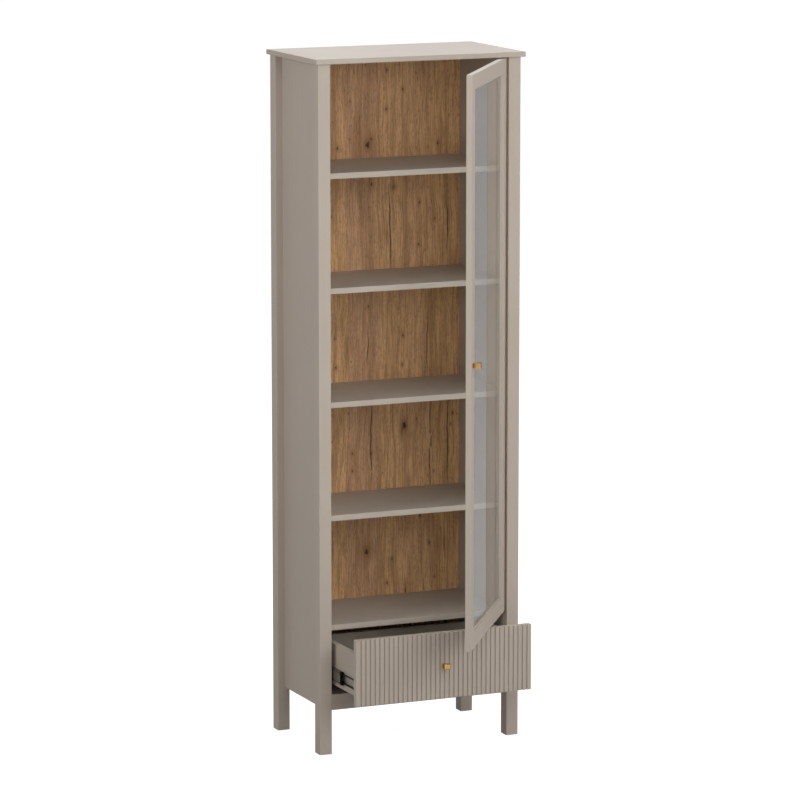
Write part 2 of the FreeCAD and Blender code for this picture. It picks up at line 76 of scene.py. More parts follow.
class Slot(Enum):
    """The record's material slots, handed to new pieces but not read; their finish comes from the solid they
    copy.
    """

    LACQUER = "taupe_lacquer"
    ZINC = "zinc_plated_steel"
    PLASTIC = "black_plastic"


def linear(colour: str) -> tuple[float, float, float, float]:
    """Turns an sRGB hex colour to linear light.

    Args:
        colour: Six hex digits after a hash sign.

    Returns:
        Red, green, blue and an alpha of 1.
    """
    parts = [int(colour[place:place + 2], 16) / 255 for place in (1, 3, 5)]
    red, green, blue = [
        part / SRGB_SLOPE if part <= SRGB_KNEE else ((part + SRGB_LIFT) / (1 + SRGB_LIFT)) ** SRGB_POWER
        for part in parts
    ]
    return red, green, blue, 1.0


def feed(tree: Tree, node: Node, inputs: dict[Any, Any]) -> None:
    """Sets a node's inputs.

    Args:
        tree: The node's tree.
        node: The node.
        inputs: Values or other nodes' sockets, by the input's name or number.
    """
    for key, value in inputs.items():
        if isinstance(value, bpy.types.NodeSocket):
            tree.links.new(value, node.inputs[key])
        else:
            node.inputs[key].default_value = value


def add(tree: Tree, kind: str, inputs: dict[Any, Any] | None = None, **settings: Any) -> Node:
    """Adds a node with its settings, values and links.

    Args:
        tree: The tree that gets the node.
        kind: The node's type name.
        inputs: Values or other nodes' sockets, by the input's name or number.
        settings: The node's own properties.

    Returns:
        The new node.
    """
    node = tree.nodes.new(kind)
    for name, value in settings.items():
        setattr(node, name, value)
    feed(tree, node, inputs or {})
    return node


def maths(tree: Tree, operation: str, *values: Any) -> Socket:
    """Gives the result of an operation on numbers or their sockets."""
    return add(tree, "ShaderNodeMath", dict(enumerate(values)), operation=operation).outputs[0]


def vectors(tree: Tree, operation: str, *values: Any) -> Socket:
    """Gives the result of an operation on vectors or their sockets."""
    return add(tree, "ShaderNodeVectorMath", dict(enumerate(values)), operation=operation).outputs[0]


def join(tree: Tree, x: Any = 0.0, y: Any = 0.0, z: Any = 0.0) -> Socket:
    """Gives the vector of three numbers or their sockets."""
    return add(tree, "ShaderNodeCombineXYZ", {0: x, 1: y, 2: z}).outputs[0]


def split(tree: Tree, vector: Socket) -> Sequence[Socket]:
    """Gives a vector's three numbers."""
    return add(tree, "ShaderNodeSeparateXYZ", {0: vector}).outputs


def ramp(tree: Tree, value: Socket, start: float, end: float, low: float = 0.0, high: float = 1.0) -> Socket:
    """Maps one range to another and holds it at the ends.

    Args:
        tree: The tree that gets the node.
        value: The value to map.
        start: The value that gives low.
        end: The value that gives high.
        low: The result at the start.
        high: The result at the end.

    Returns:
        The result.
    """
    limits = {"Value": value, "From Min": start, "From Max": end, "To Min": low, "To Max": high}
    return add(tree, "ShaderNodeMapRange", limits).outputs[0]


def blend(tree: Tree, share: Socket, first: Any, second: Any) -> Socket:
    """Gives two colours mixed by the share of the second."""
    return add(tree, "ShaderNodeMix", {0: share, 6: first, 7: second}, data_type="RGBA").outputs[2]


def bump(tree: Tree, height: Socket, strength: float, depth: float) -> Socket:
    """Gives the normals of a relief of a real depth, weakened to a strength from 0 to 1."""
    return add(tree, "ShaderNodeBump", {"Height": height, "Strength": strength, "Distance": depth}).outputs[0]


@dataclass(frozen=True)
class Finish:
    """A surface that is made once and shared by all pieces that have it."""

    name: str

    def material(self) -> bpy.types.Material:
        """Gives the finish's material, made on first use.

        Returns:
            The material.
        """
        found = bpy.data.materials.get(self.name)
        if found is None:
            found = bpy.data.materials.new(self.name)
            found.use_nodes = True
            self.paint(found.node_tree, found.node_tree.nodes["Principled BSDF"])
        return found

    def paint(self, tree: Tree, shader: Node) -> None:
        """Sets the shader and adds the finish's nodes.

        Args:
            tree: The material's tree.
            shader: Its main shader.
        """
        raise NotImplementedError

    def grain(self, tree: Tree, place: Socket, size_mm: Sequence[float], detail: float) -> Socket:
        """Gives noise whose features have a real size.

        Args:
            tree: The material's tree.
            place: The place on the piece, in metres.
            size_mm: The features' size along X, Y and Z.
            detail: Octaves of finer noise.

        Returns:
            The noise from 0 to 1.
        """
        scaled = vectors(tree, "MULTIPLY", place, tuple(1 / (size * MM) for size in size_mm))
        return add(tree, "ShaderNodeTexNoise", {"Vector": scaled, "Scale": 1.0, "Detail": detail}).outputs[0]

    def dress(self, *nodes: str) -> None:
        """Gives the finish to solids of the frame.

        Args:
            nodes: The solids' names.
        """
        for node in nodes:
            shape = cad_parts[node]
            shape.data.materials.clear()
            shape.data.materials.append(self.material())


@dataclass(frozen=True)
class MattLacquer(Finish):
    """Polyurethane lacquer sprayed on fibreboard: even, matt, with a faint orange peel in glancing light."""

    colour: str = "#B6AA9E"
    cloud: str = "#B0A498"
    roughness: float = 0.58
    gloss: float = 0.35
    cloud_mm: float = 140.0
    peel_mm: float = 1.8
    peel_sheen: float = 0.04
    peel_strength: float = 0.12
    peel_depth: float = 0.1 * MM

    def paint(self, tree: Tree, shader: Node) -> None:
        """Adds soft clouds of tone and the orange peel, drawn coarser than the real 0.8 mm so that it shows.

        Args:
            tree: The material's tree.
            shader: Its main shader.
        """
        place = add(tree, "ShaderNodeTexCoord").outputs["Object"]
        clouds = self.grain(tree, place, [self.cloud_mm] * 3, detail=3.0)
        peel = self.grain(tree, place, [self.peel_mm] * 3, detail=2.0)
        feed(tree, shader, {
            "Base Color": blend(tree, clouds, linear(self.colour), linear(self.cloud)),
            "Roughness": ramp(
                tree, peel, 0.0, 1.0, self.roughness - self.peel_sheen, self.roughness + self.peel_sheen,
            ),
            "Normal": bump(tree, peel, self.peel_strength, self.peel_depth),
            "Specular IOR Level": self.gloss,
        })


@dataclass(frozen=True)
class Layer:
    """How a pattern inks the wood: the values where it starts and is full, and its strength when full."""

    start: float
    full: float
    strength: float


@dataclass(frozen=True)
class RusticOak(Finish):
    """Oiled oak veneer on hardboard: upright staves of gold and rose, open pores, knots and drying cracks."""

    gold: str = "#EBBB7F"
    rose: str = "#CFA27C"
    brown: str = "#976D49"
    dark: str = "#66472E"
    heart: str = "#33200F"
    crack: str = "#1A1009"
    raw: str = "#8F7659"
    raw_dark: str = "#7A6349"
    roughness: float = 0.62
    gloss: float = 0.3
    relief_strength: float = 0.3
    relief_depth: float = 0.2 * MM
    rear_y: float = 0.3705
    speck_mm: float = 5.0
    stave_mm: float = 92.0
    stave_start: float = 7.0
    stave_jitter: float = 0.8
    stave_layer: Layer = Layer(0.1, 0.9, 1.0)
    cloud_mm: Triple = (40.0, 40.0, 150.0)
    cloud_layer: Layer = Layer(0.48, 0.72, 0.4)
    stripe_mm: Triple = (15.0, 15.0, 520.0)
    stripe_layer: Layer = Layer(0.5, 0.7, 0.45)
    streak_mm: Triple = (5.5, 5.5, 240.0)
    streak_layer: Layer = Layer(0.5, 0.68, 0.4)
    fibre_mm: Triple = (2.4, 2.4, 80.0)
    fibre_layer: Layer = Layer(0.44, 0.64, 0.34)
    pore_mm: Triple = (2.6, 2.6, 11.0)
    pore_layer: Layer = Layer(0.56, 0.74, 0.3)
    sway_mm: Triple = (150.0, 150.0, 260.0)
    sway_reach: float = 36.0 * MM
    flaw_jitter: float = 0.9
    flaw_chance: float = 0.4
    knot_spacing: tuple[float, float] = (118.0 * MM, 205.0 * MM)
    knot_radius: float = 7.0 * MM
    knot_squash: float = 0.6
    knot_edge: tuple[float, float] = (-0.4, 0.1)
    knot_push: float = -0.9
    knot_layer: Layer = Layer(0.0, 1.0, 0.9)
    halo_edge: tuple[float, float] = (0.14, 0.42)
    halo_layer: Layer = Layer(0.0, 1.0, 0.9)
    pin_spacing: tuple[float, float] = (52.0 * MM, 96.0 * MM)
    pin_radius: float = 2.4 * MM
    pin_halo_layer: Layer = Layer(0.0, 1.0, 0.8)
    crack_spacing: tuple[float, float] = (62.0 * MM, 340.0 * MM)
    crack_reach: float = 165.0 * MM
    crack_taper: float = 70.0 * MM
    crack_width: float = 2.3 * MM
    crack_core: float = 0.3
    crack_layer: Layer = Layer(0.0, 1.0, 0.88)

    def scatter(self, tree: Tree, place: Socket, spacing: tuple[float, float]) -> tuple[Socket, Socket]:
        """Scatters points over the board and finds the nearest one.

        Args:
            tree: The material's tree.
            place: The place on the board, in metres.
            spacing: The points' mean spacing across and along the grain.

        Returns:
            The way from the nearest point, in metres across and along, and that point's chance from 0 to 1.
        """
        parts = split(tree, place)
        flat = join(tree, parts[0], parts[2])
        cell = vectors(tree, "MULTIPLY", flat, (1 / spacing[0], 1 / spacing[1], 0.0))
        grid = add(tree, "ShaderNodeTexVoronoi", {
            "Vector": cell, "Scale": 1.0, "Randomness": self.flaw_jitter,
        }, voronoi_dimensions="2D").outputs
        away = vectors(tree, "SUBTRACT", cell, grid["Position"])
        chance = add(tree, "ShaderNodeSeparateColor", {0: grid["Color"]}).outputs[0]
        return vectors(tree, "MULTIPLY", away, (*spacing, 0.0)), chance

    def knots(self, tree: Tree, place: Socket, spacing: tuple[float, float], radius: float,
              ) -> tuple[Socket, Socket, Socket]:
        """Places knots in more than half of the cells and finds how the grain bends round them.

        Args:
            tree: The material's tree.
            place: The place on the board, in metres.
            spacing: The knots' cells, across and along the grain.
            radius: The largest knot's radius.

        Returns:
            The knots' dark hearts and the brown wood round them, from 0 to 1, and the grain's shift aside.
        """
        away, chance = self.scatter(tree, place, spacing)
        girth = ramp(tree, chance, self.flaw_chance, 1.0, 0.0, radius)
        oval = vectors(tree, "MULTIPLY", away, (1.0, self.knot_squash, 0.0))
        far = add(tree, "ShaderNodeVectorMath", {0: oval}, operation="LENGTH").outputs["Value"]
        ragged = self.grain(tree, place, [radius / MM] * 3, detail=3.0)
        rough = maths(tree, "ADD", far, ramp(tree, ragged, 0.0, 1.0, -radius, radius))
        outside = maths(tree, "SUBTRACT", rough, girth)
        inner, outer = self.knot_edge
        heart = ramp(tree, outside, inner * radius, outer * radius, 1.0, 0.0)
        near = maths(tree, "DIVIDE", girth, maths(tree, "ADD", far, girth))
        halo = ramp(tree, near, *self.halo_edge)
        push = maths(tree, "MULTIPLY", near, self.knot_push)
        return heart, halo, maths(tree, "MULTIPLY", split(tree, away)[0], push)

    def bend(self, tree: Tree, place: Socket, aside: Socket) -> Socket:
        """Lets the grain sway and flow round the knots like water round a stone.

        Args:
            tree: The material's tree.
            place: The place on the board, in metres.
            aside: The shift round the knots.

        Returns:
            The place along the bent grain.
        """
        waves = self.grain(tree, place, self.sway_mm, detail=4.0)
        sway = ramp(tree, waves, 0.0, 1.0, -self.sway_reach / 2, self.sway_reach / 2)
        return vectors(tree, "ADD", place, join(tree, maths(tree, "ADD", aside, sway)))

    def cracks(self, tree: Tree, bent: Socket) -> Socket:
        """Draws long thin splits that taper to both ends, in more than half of the cells.

        Args:
            tree: The material's tree.
            bent: The place along the bent grain.

        Returns:
            How much of a crack is at the place, from 0 to 1.
        """
        away, chance = self.scatter(tree, bent, self.crack_spacing)
        parts = split(tree, away)
        reach = ramp(tree, chance, self.flaw_chance, 1.0, 0.0, self.crack_reach)
        left = maths(tree, "SUBTRACT", reach, maths(tree, "ABSOLUTE", parts[1]))
        gape = ramp(tree, left, 0.0, self.crack_taper)
        off = maths(tree, "ABSOLUTE", parts[0])
        line = ramp(tree, off, self.crack_core * self.crack_width, self.crack_width, 1.0, 0.0)
        return maths(tree, "MULTIPLY", line, gape)

    def staves(self, tree: Tree, bent: Socket) -> Socket:
        """Gives each upright stave of the veneer a tone of its own.

        Args:
            tree: The material's tree.
            bent: The place along the bent grain.

        Returns:
            The tone from 0 to 1.
        """
        across = split(tree, bent)[0]
        count = maths(tree, "MULTIPLY_ADD", across, 1 / (self.stave_mm * MM), self.stave_start)
        strips = add(tree, "ShaderNodeTexVoronoi", {
            "W": count, "Scale": 1.0, "Randomness": self.stave_jitter,
        }, voronoi_dimensions="1D")
        return add(tree, "ShaderNodeSeparateColor", {0: strips.outputs["Color"]}).outputs[0]

    def paint(self, tree: Tree, shader: Node) -> None:
        """Lays staves, stripes, fibre, knots and cracks over each other, and leaves the rear face raw.

        Args:
            tree: The material's tree.
            shader: Its main shader.
        """
        place = add(tree, "ShaderNodeTexCoord").outputs["Object"]
        heart, halo, aside = self.knots(tree, place, self.knot_spacing, self.knot_radius)
        pin, pin_halo, _ = self.knots(tree, place, self.pin_spacing, self.pin_radius)
        bent = self.bend(tree, place, aside)
        crack = self.cracks(tree, bent)
        fibre = self.grain(tree, bent, self.fibre_mm, detail=1.0)
        knot = maths(tree, "MAXIMUM", heart, pin)
        wood: Any = linear(self.gold)
        for pattern, layer, ink in (
            (self.staves(tree, bent), self.stave_layer, self.rose),
            (self.grain(tree, bent, self.cloud_mm, detail=2.0), self.cloud_layer, self.brown),
            (self.grain(tree, bent, self.stripe_mm, detail=1.0), self.stripe_layer, self.brown),
            (self.grain(tree, bent, self.streak_mm, detail=1.0), self.streak_layer, self.brown),
            (fibre, self.fibre_layer, self.dark),
            (self.grain(tree, bent, self.pore_mm, detail=0.0), self.pore_layer, self.dark),
            (halo, self.halo_layer, self.brown),
            (pin_halo, self.pin_halo_layer, self.brown),
            (knot, self.knot_layer, self.heart),
            (crack, self.crack_layer, self.crack),
        ):
            share = ramp(tree, pattern, layer.start, layer.full, 0.0, layer.strength)
            wood = blend(tree, share, wood, linear(ink))
        specks = self.grain(tree, place, [self.speck_mm] * 3, detail=4.0)
        board = blend(tree, specks, linear(self.raw), linear(self.raw_dark))
        rear = maths(tree, "GREATER_THAN", split(tree, place)[1], self.rear_y)
        relief = maths(tree, "SUBTRACT", fibre, maths(tree, "MAXIMUM", crack, knot))
        feed(tree, shader, {
            "Base Color": blend(tree, rear, wood, board),
            "Roughness": self.roughness,
            "Normal": bump(tree, relief, self.relief_strength, self.relief_depth),
            "Specular IOR Level": self.gloss,
        })


@dataclass(frozen=True)
class FloatGlass(Finish):
    """Clear float glass: a mirror at a glancing look, nearly unseen face on, with a faint green cast."""

    colour: str = "#F1F6F4"
    refraction: float = 1.5
    ripple_mm: float = 90.0
    ripple_strength: float = 0.02
    ripple_depth: float = 0.1 * MM

    def paint(self, tree: Tree, shader: Node) -> None:
        """Sets a smooth pane with a faint ripple of the float bath.

        Args:
            tree: The material's tree.
            shader: Its main shader.
        """
        place = add(tree, "ShaderNodeTexCoord").outputs["Object"]
        ripple = self.grain(tree, place, [self.ripple_mm] * 3, detail=1.0)
        feed(tree, shader, {
            "Base Color": linear(self.colour),
            "Roughness": 0.0,
            "Normal": bump(tree, ripple, self.ripple_strength, self.ripple_depth),
            "IOR": self.refraction,
            "Transmission Weight": 1.0,
        })


@dataclass(frozen=True)
class WorkedMetal(Finish):
    """A metal with fine lines of turning or rolling and a slightly uneven shine. As it stands, brass. Its
    blotches between colour and shade are partly stain and partly painted reflection and shade of the knob's
    bright and dark sides.
    """

    colour: str = "#CAA767"
    shade: str = "#7E5E2F"
    roughness: float = 0.25
    line_mm: Triple = (0.5, 0.5, 9.0)
    line_sheen: float = 0.08
    line_strength: float = 0.1
    line_depth: float = 0.02 * MM
    stain_and_reflection_mm: float = 10.0

    def paint(self, tree: Tree, shader: Node) -> None:
        """Adds the lines, drawn coarser than the real 0.1 mm so that they show.

        Args:
            tree: The material's tree.
            shader: Its main shader.
        """
        place = add(tree, "ShaderNodeTexCoord").outputs["Object"]
        lines = self.grain(tree, place, self.line_mm, detail=2.0)
        # Blotches between colour and shade: partly stain, and on the brass partly painted reflection and
        # shade.
        stain_and_reflection = self.grain(tree, place, [self.stain_and_reflection_mm] * 3, detail=2.0)
        feed(tree, shader, {
            "Base Color": blend(tree, stain_and_reflection, linear(self.colour), linear(self.shade)),
            "Roughness": ramp(
                tree, lines, 0.0, 1.0, self.roughness - self.line_sheen, self.roughness + self.line_sheen,
            ),
            "Normal": bump(tree, lines, self.line_strength, self.line_depth),
            "Metallic": 1.0,
        })


@dataclass(frozen=True)
class ZincPlate(WorkedMetal):
    """Dull zinc plate on rolled steel, with its lines along the slides."""

    colour: str = "#827C70"
    shade: str = "#6B665C"
    roughness: float = 0.4
    line_mm: Triple = (0.5, 9.0, 0.5)


@dataclass(frozen=True)
class ShadeLinedZinc(ZincPlate):
    """Zinc plate with two dark lines painted along the ball tracks, which draw the slide's long dark lines:
    painted shade for the gaps between the members.
    """

    # The dark colour of the painted shade lines along the ball tracks.
    shade_line_colour: str = "#15120E"
    shade_line_cover: float = 0.95
    track_z: tuple[float, float] = (216.6 * MM, 244.4 * MM)
    track_half: float = 1.3 * MM
    track_core: float = 0.5

    def paint(self, tree: Tree, shader: Node) -> None:
        """Lays the painted shade lines over the plate.

        Args:
            tree: The material's tree.
            shader: Its main shader.
        """
        super().paint(tree, shader)
        plate = shader.inputs["Base Color"].links[0].from_socket
        off = split(tree, add(tree, "ShaderNodeTexCoord").outputs["Object"])[2]
        low, high = self.track_z
        for step in ((low + high) / 2, (high - low) / 2):
            off = maths(tree, "ABSOLUTE", maths(tree, "SUBTRACT", off, step))
        share = ramp(tree, off, self.track_half, self.track_core * self.track_half, 0.0, self.shade_line_cover)
        feed(tree, shader, {"Base Color": blend(tree, share, plate, linear(self.shade_line_colour))})


@dataclass(frozen=True)
class MouldedNylon(Finish):
    """Black nylon from a spark-eroded mould: a fine matt grain."""

    colour: str = "#080707"
    roughness: tuple[float, float] = (0.5, 0.7)
    gloss: float = 0.03
    grain_mm: float = 0.7
    grain_strength: float = 0.3
    grain_depth: float = 0.05 * MM

    def paint(self, tree: Tree, shader: Node) -> None:
        """Adds the mould's grain.

        Args:
            tree: The material's tree.
            shader: Its main shader.
        """
        place = add(tree, "ShaderNodeTexCoord").outputs["Object"]
        grain = self.grain(tree, place, [self.grain_mm] * 3, detail=2.0)
        feed(tree, shader, {
            "Base Color": linear(self.colour),
            "Roughness": ramp(tree, grain, 0.0, 1.0, *self.roughness),
            "Normal": bump(tree, grain, self.grain_strength, self.grain_depth),
            "Specular IOR Level": self.gloss,
        })


LACQUER = MattLacquer("taupe_matt_lacquer")
# Painted shade: the drawer's back and bottom take a lacquer a shade darker than the rest. It stands in for
# the shade inside the drawer under the cabinet floor.
LINING_WITH_PAINTED_SHADE = MattLacquer("drawer_lining_painted_shade", "#A0978B", "#9A9185", roughness=0.66, gloss=0.2)
OAK = RusticOak("brown_oak_veneer")
GLASS = FloatGlass("clear_float_glass")
# The brass's wide step from colour to shade is partly painted reflection and shade.
BRASS = WorkedMetal("brushed_brass")
ZINC = ZincPlate("rolled_zinc_plate")
# The middle and inner members carry painted shade lines along their ball tracks.
MIDDLE_ZINC = ShadeLinedZinc("middle_zinc_painted_shade_lines")
INNER_ZINC = ShadeLinedZinc("inner_zinc_painted_shade_lines", "#8A8478", "#6F6A60", track_z=(218.2 * MM, 243.0 * MM))
NICKEL = WorkedMetal("satin_nickel_plate", "#C4C0B8", "#A5A199", roughness=0.3)
NYLON = MouldedNylon("black_moulded_nylon")


class Rework:
    """A welded copy of a solid's mesh that is changed and takes the solid's place."""

    def __init__(self, node: str) -> None:
        """Copies the solid.

        Args:
            node: The solid's name.
        """
        self.node = node
        self.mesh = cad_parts[node].data.copy()
        self.shape = bmesh.new()
        self.shape.from_mesh(self.mesh)
        bmesh.ops.remove_doubles(self.shape, verts=self.shape.verts, dist=WELD)

    def ease(self, arrises: list[bmesh.types.BMEdge], width: float, segments: int) -> None:
        """Rounds arrises of the copy.

        Args:
            arrises: The edges to round.
            width: The rounding's reach on both sides.
            segments: The rounding's facets.
        """
        bmesh.ops.bevel(
            self.shape, geom=arrises, offset=width, segments=segments, profile=0.5, affect="EDGES",
        )

    def finish(self, name: str, body: Body, slot: Slot) -> Piece:
        """Puts the changed copy in the scene.

        Args:
            name: The new piece's name.
            body: The body that it rides on.
            slot: Its material slot; not used.

        Returns:
            The new piece.
        """
        self.shape.to_mesh(self.mesh)
        self.shape.free()
        piece = bpy.data.objects.new(name, self.mesh)
        bpy.context.scene.collection.objects.link(piece)
        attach(piece, body.value)
        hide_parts(self.node)
        return piece


class NodeShape:
    """A mesh made by a node tree with named inputs."""

    def __init__(self, name: str) -> None:
        """Starts an empty tree with a geometry input and output.

        Args:
            name: The tree's name.
        """
        self.tree = bpy.data.node_groups.new(name, "GeometryNodeTree")
        self.tree.interface.new_socket("Geometry", in_out="INPUT", socket_type="NodeSocketGeometry")
        self.tree.interface.new_socket("Geometry", in_out="OUTPUT", socket_type="NodeSocketGeometry")

    def socket(self, name: str, kind: str) -> None:
        """Adds a named input of a socket type."""
        self.tree.interface.new_socket(name, in_out="INPUT", socket_type=kind)

    def close(self, shape: Socket, finish: Socket) -> None:
        """Ends the tree with real meshes of one material.

        Args:
            shape: The instances or meshes to keep.
            finish: The material's socket.
        """
        real = add(self.tree, "GeometryNodeRealizeInstances", {0: shape})
        dressed = add(self.tree, "GeometryNodeSetMaterial", {"Geometry": real.outputs[0], "Material": finish})
        add(self.tree, "NodeGroupOutput", {0: dressed.outputs[0]})

    def make(self, name: str, source: bpy.types.Mesh, values: dict[str, Any]) -> Piece:
        """Runs the tree on a mesh and keeps the result as a plain mesh.

        Args:
            name: The new object's name.
            source: The mesh that the tree starts from.
            values: The named inputs.

        Returns:
            The finished object, at the origin.
        """
        shape = bpy.data.objects.new(name, source)
        bpy.context.scene.collection.objects.link(shape)
        modifier = shape.modifiers.new("shape", "NODES")
        modifier.node_group = self.tree
        for item in self.tree.interface.items_tree:
            if item.in_out == "INPUT" and item.name in values:
                modifier[item.identifier] = values[item.name]
        ready = shape.evaluated_get(bpy.context.evaluated_depsgraph_get())
        mesh = bpy.data.meshes.new_from_object(ready)
        shape.modifiers.remove(modifier)
        shape.data = mesh
        mesh.name = name
        return shape


@dataclass(frozen=True)
class ScrewSize:
    """The size of a screw's pan head and of the cross recess in it."""

    diameter: float
    height: float
    recess_length: float = 0.55
    recess_width: float = 0.14

    def values(self) -> dict[str, float]:
        """Gives the inputs for ScrewRows; the recess is drawn in shares of the head."""
        return {
            "Head Diameter": self.diameter, "Head Height": self.height,
            "Recess Length": self.diameter * self.recess_length,
            "Recess Width": self.diameter * self.recess_width,
        }


KNOB_SCREW = ScrewSize(9.0 * MM, 2.2 * MM)


class ScrewRows(NodeShape):
    """Pan-head screws with a cross recess, set on points."""

    FACETS = 24
    CROWN = 0.72

    def __init__(self) -> None:
        """Builds the tree: a head, its recess, and a copy on each point along its facing."""
        super().__init__("screw_rows")
        for name in ("Head Diameter", "Head Height", "Recess Length", "Recess Width"):
            self.socket(name, "NodeSocketFloat")
        self.socket("Material", "NodeSocketMaterial")
        tree = self.tree
        given = add(tree, "NodeGroupInput").outputs
        radius = maths(tree, "MULTIPLY", given["Head Diameter"], 0.5)
        crown = maths(tree, "MULTIPLY", radius, self.CROWN)
        half = maths(tree, "MULTIPLY", given["Head Height"], 0.5)
        base = add(tree, "GeometryNodeMeshCylinder", {
            "Vertices": self.FACETS, "Radius": radius, "Depth": half,
        })
        dome = add(tree, "GeometryNodeMeshCone", {
            "Vertices": self.FACETS, "Radius Top": crown, "Radius Bottom": radius, "Depth": half,
        })
        base_place = join(tree, z=maths(tree, "MULTIPLY", half, 0.5))
        dome_place = join(tree, z=half)
        foot = add(tree, "GeometryNodeTransform", {"Geometry": base.outputs[0], "Translation": base_place})
        cap = add(tree, "GeometryNodeTransform", {"Geometry": dome.outputs[0], "Translation": dome_place})
        head = add(tree, "GeometryNodeMeshBoolean", operation="UNION", solver="EXACT")
        tree.links.new(foot.outputs[0], head.inputs[1])
        tree.links.new(cap.outputs[0], head.inputs[1])
        bar_size = join(tree, given["Recess Length"], given["Recess Width"], given["Head Height"])
        bar = add(tree, "GeometryNodeMeshCube", {"Size": bar_size})
        bar_place = join(tree, z=given["Head Height"])
        cut = add(tree, "GeometryNodeMeshBoolean", {0: head.outputs[0]}, operation="DIFFERENCE",
                  solver="EXACT")
        for turn in (0.0, math.pi / 2):
            arm = add(tree, "GeometryNodeTransform", {
                "Geometry": bar.outputs[0], "Translation": bar_place, "Rotation": (0.0, 0.0, turn),
            })
            tree.links.new(arm.outputs[0], cut.inputs[1])
        facing = add(tree, "GeometryNodeInputNamedAttribute", {"Name": "facing"}, data_type="FLOAT_VECTOR")
        turned = add(tree, "FunctionNodeAlignRotationToVector", {"Vector": facing.outputs[0]}, axis="Z")
        rows = add(tree, "GeometryNodeInstanceOnPoints", {
            "Points": given["Geometry"], "Instance": cut.outputs[0], "Rotation": turned.outputs[0],
        })
        self.close(rows.outputs[0], given["Material"])

    def place(self, name: str, seats: Sequence[Seat], size: ScrewSize, body: Body) -> Piece:
        """Sets one screw on each seat and lets the group ride.

        Args:
            name: The group's name.
            seats: Each seat's point and outward direction.
            size: The heads' size.
            body: The body that they ride on.

        Returns:
            The group of screws.
        """
        points = bpy.data.meshes.new(name + "_seats")
        points.from_pydata([tuple(spot) for spot, _ in seats], [], [])
        facing = points.attributes.new("facing", "FLOAT_VECTOR", "POINT")
        facing.data.foreach_set("vector", [part for _, way in seats for part in way])
        screws = self.make(name, points, {**size.values(), "Material": ZINC.material()})
        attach(screws, body.value)
        return screws


@dataclass
class Carcass:
    """Posts, panels, shelves and the fittings that stand still."""

    inner_half: float = 269.0 * MM
    shelf_bottoms: tuple[float, ...] = (661.0 * MM, 979.75 * MM, 1298.5 * MM, 1617.25 * MM)
    bracket_rows: tuple[float, float] = (107.0 * MM, 315.0 * MM)
    bracket_sheet: float = 1.5 * MM
    bracket_screw_drop: float = 7.0 * MM
    bracket_screw: ScrewSize = ScrewSize(4.4 * MM, 1.2 * MM)
    plate_screw_reach: float = 15.5 * MM
    plate_screw: ScrewSize = ScrewSize(6.6 * MM, 1.6 * MM)
    floor_arris: float = 1.6 * MM
    floor_facets: int = 4

    def dress(self) -> None:
        """Gives the solids their finishes."""
        posts = [f"{row}_{side}_post" for row in ("front", "rear") for side in SIDES]
        boards = ["top_panel", "left_side_panel", "right_side_panel", "front_apron", "rear_rail"]
        boards += ["bottom_board", "cabinet_floor"]
        shelves = [f"shelf_{number}" for number, _ in enumerate(self.shelf_bottoms, start=1)]
        LACQUER.dress(*posts, *boards, *shelves)
        OAK.dress("back_panel")
        ZINC.dress("shelf_brackets", "left_slide_outer", "right_slide_outer")
        NICKEL.dress(*[f"hinge_{piece}_{number}" for piece in ("plate", "arm") for number in HINGES])
        NYLON.dress("foot_glides")

    def bracket_seats(self) -> list[Seat]:
        """Gives the seat of one screw on each shelf bracket's upright leg.

        Returns:
            Points and outward directions.
        """
        return [
            (Vector((sign * (self.inner_half - self.bracket_sheet), row, bottom - self.bracket_screw_drop)),
             Vector((-sign, 0.0, 0.0)))
            for bottom in self.shelf_bottoms for sign in SIDES.values() for row in self.bracket_rows
        ]

    def plate_seats(self) -> list[Seat]:
        """Gives the seats of two screws on each hinge plate.

        Returns:
            Points and outward directions.
        """
        seats = []
        for number in HINGES:
            low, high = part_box(f"hinge_plate_{number}")
            middle = (low + high) / 2
            for reach in (-self.plate_screw_reach, self.plate_screw_reach):
                seats.append((Vector((low.x, middle.y, middle.z + reach)), Vector((-1.0, 0.0, 0.0))))
        return seats

    def eased_floor(self) -> Piece:
        """Copies the floor board and rounds its upper front arris, which catches a thin line of light.

        Returns:
            The eased board.
        """
        low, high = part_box("cabinet_floor")
        board = Rework("cabinet_floor")
        arris = [
            edge for edge in board.shape.edges
            if all(end.co.y < low.y + WELD and end.co.z > high.z - WELD for end in edge.verts)
        ]
        board.ease(arris, self.floor_arris, self.floor_facets)
        return board.finish("eased_cabinet_floor", Body.CARCASS, Slot.LACQUER)

    def build(self, screws: ScrewRows) -> list[Piece]:
        """Dresses the solids, eases the floor and adds the screws.

        Args:
            screws: The maker of screw rows.

        Returns:
            The new pieces.
        """
        self.dress()
        return [
            self.eased_floor(),
            screws.place("bracket_screws", self.bracket_seats(), self.bracket_screw, Body.CARCASS),
            screws.place("hinge_plate_screws", self.plate_seats(), self.plate_screw, Body.CARCASS),
        ]


